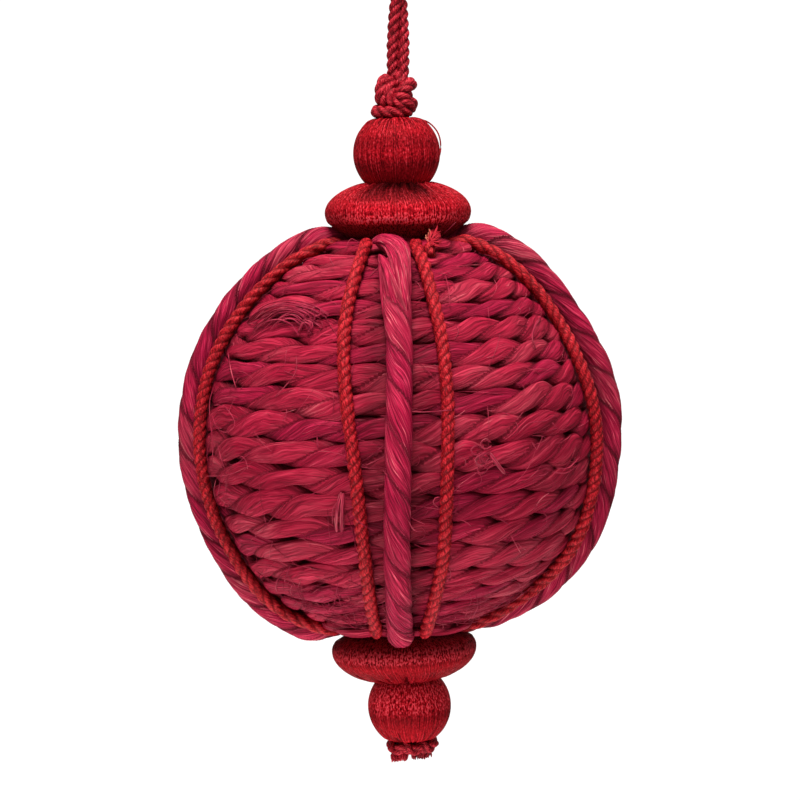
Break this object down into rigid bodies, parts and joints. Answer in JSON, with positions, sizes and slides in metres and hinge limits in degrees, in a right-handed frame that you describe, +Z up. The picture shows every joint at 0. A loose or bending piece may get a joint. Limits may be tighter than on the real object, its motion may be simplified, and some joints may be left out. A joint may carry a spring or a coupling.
{
  "type": "hanging ball ornament",
  "caption": "Hanging ball ornament wound with red twisted raffia, with thick ropes and thin cords from pole to pole, thread-wound discs and beads, and a knotted hanging loop.",
  "frame": {"origin": "the point inside the top of the hanging loop where a hook carries it", "axes": "+Z up along the hanging cord, -Y towards the viewer of the picture, +X to the viewer's right"},
  "size_m": [0.0998, 0.0998, 0.1927],
  "materials": {
    "raffia_rows": "dyed plant fibre, satin sheen",
    "raffia_rope": "dyed plant fibre, satin sheen, a little pinker",
    "edge_cord": "twisted textile cord, soft sheen",
    "hanging_cord": "twisted textile cord, soft sheen",
    "wound_thread": "fine shiny thread wound closely over a form"
  },
  "bodies": {
    "root": {"raffia_ball": "raffia_rows", "raffia_rope_front": "raffia_rope", "raffia_rope_right": "raffia_rope", "raffia_rope_back": "raffia_rope", "raffia_rope_left": "raffia_rope", "edge_cord_front_left": "edge_cord", "edge_cord_front_right": "edge_cord", "edge_cord_right_front": "edge_cord", "edge_cord_right_back": "edge_cord", "edge_cord_back_right": "edge_cord", "edge_cord_back_left": "edge_cord", "edge_cord_left_back": "edge_cord", "edge_cord_left_front": "edge_cord", "top_disc": "wound_thread", "top_bead": "wound_thread", "top_knot": "hanging_cord", "bottom_disc": "wound_thread", "bottom_bead": "wound_thread", "bottom_knot": "hanging_cord", "hanging_loop": "hanging_cord"}
  },
  "joints": []
}
